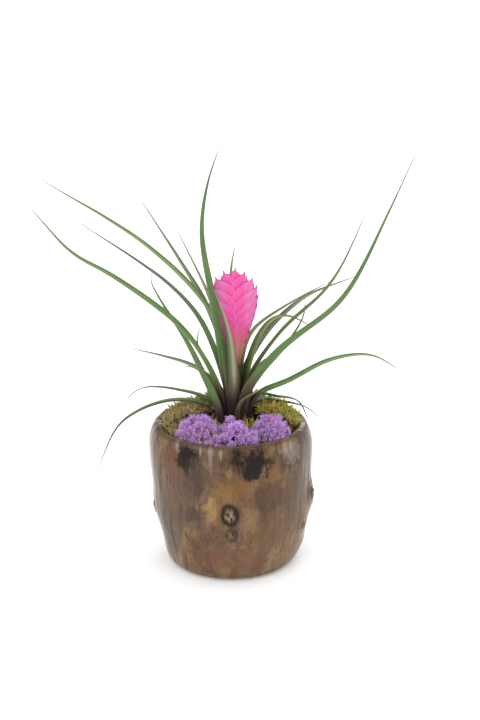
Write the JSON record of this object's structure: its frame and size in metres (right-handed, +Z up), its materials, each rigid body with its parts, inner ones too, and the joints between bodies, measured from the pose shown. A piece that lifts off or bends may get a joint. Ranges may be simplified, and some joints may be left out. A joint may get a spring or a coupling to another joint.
{
  "type": "potted air plant",
  "caption": "Rosette of narrow arching leaves round one flat pink flower spike, set in moss inside a glazed round pot shaped like a log.",
  "frame": {"origin": "centre of the pot's flat underside", "axes": "+Z up, +X to the right of the side of the pot with the eye-shaped knot, +Y away from that side"},
  "size_m": [0.2953, 0.1595, 0.3421],
  "materials": {
    "pot_glaze": "glossy streaked brown glaze over bark-grain relief",
    "potting_mix": "damp dark bark and peat, matte",
    "crown": "dull purple-brown plant stem",
    "leaf": "satin green, purple-brown at the foot, fine lengthwise lines",
    "flower_stem": "satin orange-green plant stalk",
    "bract": "satin hot pink with darker tips",
    "brown_moss": "dry matted moss",
    "green_moss": "dry matted moss",
    "purple_lichen": "dry spongy dyed reindeer lichen"
  },
  "bodies": {
    "root": {"pot": "pot_glaze", "potting_mix": "potting_mix", "crown": "crown", "leaf_left_long": "leaf", "leaf_left_high": "leaf", "leaf_left_middle": "leaf", "leaf_left_thin": "leaf", "leaf_left_back": "leaf", "leaf_upright": "leaf", "leaf_beside_flower": "leaf", "leaf_behind_flower": "leaf", "leaf_right_arched": "leaf", "leaf_right_short": "leaf", "leaf_right_far": "leaf", "leaf_right_inner": "leaf", "leaf_right_tall": "leaf", "leaf_right_hooked": "leaf", "leaf_right_low": "leaf", "leaf_right_rim": "leaf", "leaf_right_rim_back": "leaf", "leaf_left_low": "leaf", "leaf_left_rim_back": "leaf", "leaf_left_rim": "leaf", "leaf_left_curled": "leaf", "leaf_left_hooked": "leaf", "leaf_front": "leaf", "leaf_back": "leaf", "leaf_back_left": "leaf", "leaf_back_right": "leaf", "flower_stem": "flower_stem", "bract_left_01": "bract", "bract_left_02": "bract", "bract_left_03": "bract", "bract_left_04": "bract", "bract_left_05": "bract", "bract_left_06": "bract", "bract_left_07": "bract", "bract_left_08": "bract", "bract_left_09": "bract", "bract_right_01": "bract", "bract_right_02": "bract", "bract_right_03": "bract", "bract_right_04": "bract", "bract_right_05": "bract", "bract_right_06": "bract", "bract_right_07": "bract", "bract_right_08": "bract", "bract_right_09": "bract", "bract_right_10": "bract", "moss_mat_left": "brown_moss", "moss_mat_back": "green_moss", "moss_mat_right": "green_moss", "lichen_left": "purple_lichen", "lichen_middle": "purple_lichen", "lichen_right": "purple_lichen", "lichen_small": "purple_lichen"}
  },
  "joints": []
}
